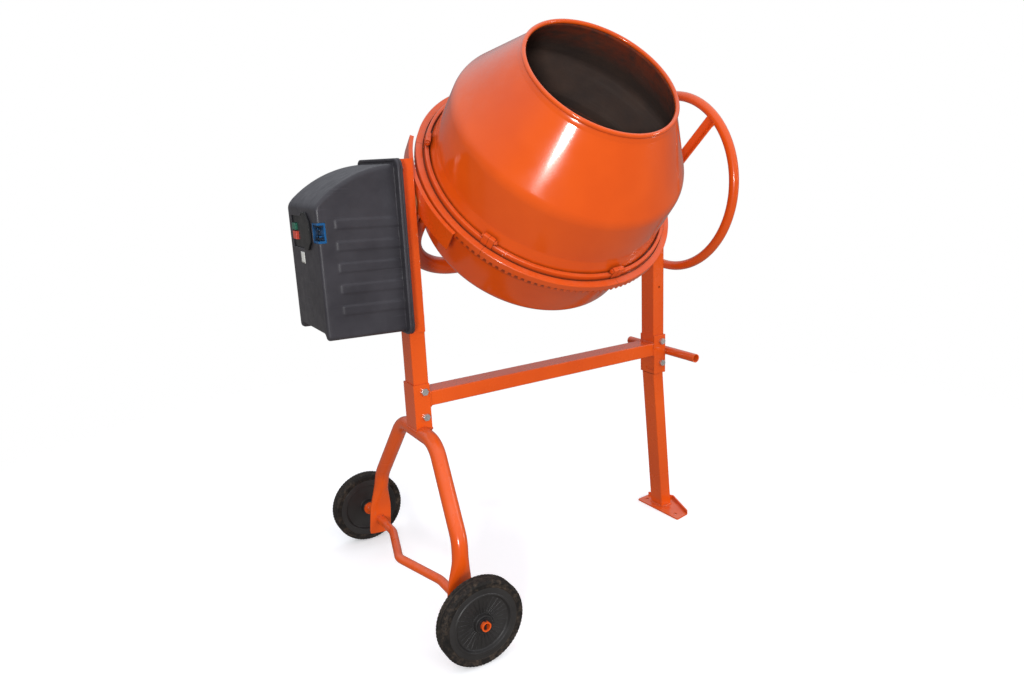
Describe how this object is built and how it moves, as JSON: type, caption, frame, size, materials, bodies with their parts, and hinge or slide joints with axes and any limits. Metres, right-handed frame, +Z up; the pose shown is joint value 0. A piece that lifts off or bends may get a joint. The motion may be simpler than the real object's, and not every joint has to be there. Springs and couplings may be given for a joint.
{
  "type": "concrete mixer",
  "caption": "Tilting-drum concrete mixer on two wheels and one leg, with a ring-gear drive, a boxed geared motor and a hand wheel that tips the drum.",
  "frame": {"origin": "on the floor, under the middle of the machine's outer box, with the drum mouth at its mixing tilt", "axes": "+Z up; +X from the motor housing towards the hand wheel, along the tilt axis; the drum mouth leans towards -Y"},
  "size_m": [1.0568, 0.7644, 1.3639],
  "materials": {
    "orange_tube": "gloss enamel",
    "orange_drum": "gloss enamel",
    "dark_primer": "matt primer",
    "orange_casting": "gloss enamel over cast iron",
    "steel": "machined",
    "zinc": "bright zinc plate",
    "bronze": "sintered bronze",
    "housing": "moulded, fine texture",
    "black_plastic": "moulded",
    "wheel_plastic": "moulded",
    "tyre": "solid rubber",
    "rubber": "belt rubber",
    "green": "moulded",
    "red": "moulded",
    "blue": "moulded",
    "aluminium": "die cast",
    "cast": "machined casting"
  },
  "bodies": {
    "frame": {"left_upright": "orange_tube", "right_upright": "orange_tube", "cross_beam": "orange_tube", "motor_bracket": "orange_tube", "wheel_stand": "orange_tube", "axle": "orange_tube", "right_leg": "orange_tube", "foot_plate": "orange_tube", "lifting_handle": "orange_tube", "frame_bolts": "zinc", "wheel_washers": "zinc", "split_pins": "zinc", "trunnion_bush_left": "bronze", "trunnion_bush_right": "bronze", "gearhead_case": "aluminium", "motor_body": "aluminium", "drive_belt": "rubber", "housing_cover": "housing", "housing_back": "housing", "housing_screws": "zinc", "switch_body": "black_plastic", "button_springs": "steel", "power_inlet": "blue"},
    "tilting_yoke": {"yoke": "orange_tube", "drum_spindle": "steel", "spindle_nut": "zinc", "left_trunnion": "orange_tube", "right_trunnion": "steel", "gear_guard": "orange_tube", "pinion_bushes": "bronze", "hand_wheel": "orange_tube", "hand_wheel_nut": "zinc", "brake_discs": "steel"},
    "drum": {"drum_upper_shell": "orange_drum", "drum_lower_shell": "orange_drum", "drum_hub": "orange_casting", "spindle_bearings": "steel", "hub_bolts": "zinc", "mixing_blade_1": "dark_primer", "mixing_blade_2": "dark_primer", "ring_segment_1": "orange_casting", "ring_segment_2": "orange_casting", "ring_segment_3": "orange_casting", "ring_segment_4": "orange_casting", "ring_segment_5": "orange_casting", "ring_segment_6": "orange_casting", "ring_bolts": "zinc"},
    "pinion": {"drive_pinion": "cast", "pinion_shaft": "steel", "large_pulley": "aluminium"},
    "gearbox_output": {"output_shaft": "steel", "small_pulley": "aluminium"},
    "rotor": {"motor_rotor": "steel"},
    "front_wheel": {"front_wheel_disc": "wheel_plastic", "front_tyre": "tyre"},
    "rear_wheel": {"rear_wheel_disc": "wheel_plastic", "rear_tyre": "tyre"},
    "start_cap": {"start_button": "green"},
    "stop_cap": {"stop_button": "red"},
    "flap": {"switch_flap": "black_plastic"}
  },
  "joints": [
    {"name": "yoke_tilt", "type": "hinge", "parent": "frame", "child": "tilting_yoke", "pos_m": [0.07, 0.01123, 0.9745], "axis": [1, 0, 0], "range_deg": [-45.9, 85]},
    {"name": "drum_spin", "type": "hinge", "parent": "tilting_yoke", "child": "drum", "pos_m": [0.07, 0.01123, 0.9745], "axis": [0, -0.7181, 0.6959], "continuous": true},
    {"name": "pinion_spin", "type": "hinge", "parent": "tilting_yoke", "child": "pinion", "pos_m": [0.07, 0.01123, 0.9745], "axis": [1, 0, 0], "continuous": true},
    {"name": "gearbox_spin", "type": "hinge", "parent": "frame", "child": "gearbox_output", "pos_m": [-0.376, 0.08323, 0.842], "axis": [1, 0, 0], "continuous": true},
    {"name": "motor_spin", "type": "hinge", "parent": "frame", "child": "rotor", "pos_m": [-0.456, 0.08323, 0.7895], "axis": [1, 0, 0], "continuous": true},
    {"name": "front_wheel_spin", "type": "hinge", "parent": "frame", "child": "front_wheel", "pos_m": [-0.347, -0.33027, 0.1], "axis": [0, 1, 0], "continuous": true},
    {"name": "rear_wheel_spin", "type": "hinge", "parent": "frame", "child": "rear_wheel", "pos_m": [-0.347, 0.35273, 0.1], "axis": [0, 1, 0], "continuous": true},
    {"name": "start_press", "type": "slide", "parent": "frame", "child": "start_cap", "axis": [1, 0, 0], "range_m": [0, 0.003], "stiffness_N_per_m": 400, "springref_m": -0.002},
    {"name": "stop_press", "type": "slide", "parent": "frame", "child": "stop_cap", "axis": [1, 0, 0], "range_m": [0, 0.003], "stiffness_N_per_m": 400, "springref_m": -0.002},
    {"name": "flap_lift", "type": "hinge", "parent": "frame", "child": "flap", "pos_m": [-0.5264, 0.04823, 0.968], "axis": [0, 1, 0], "range_deg": [0, 100]}
  ],
  "couplings": [
    {"joint": "pinion_spin", "follows": "drum_spin", "ratio": 11},
    {"joint": "gearbox_spin", "follows": "drum_spin", "ratio": 22},
    {"joint": "motor_spin", "follows": "drum_spin", "ratio": -88}
  ]
}
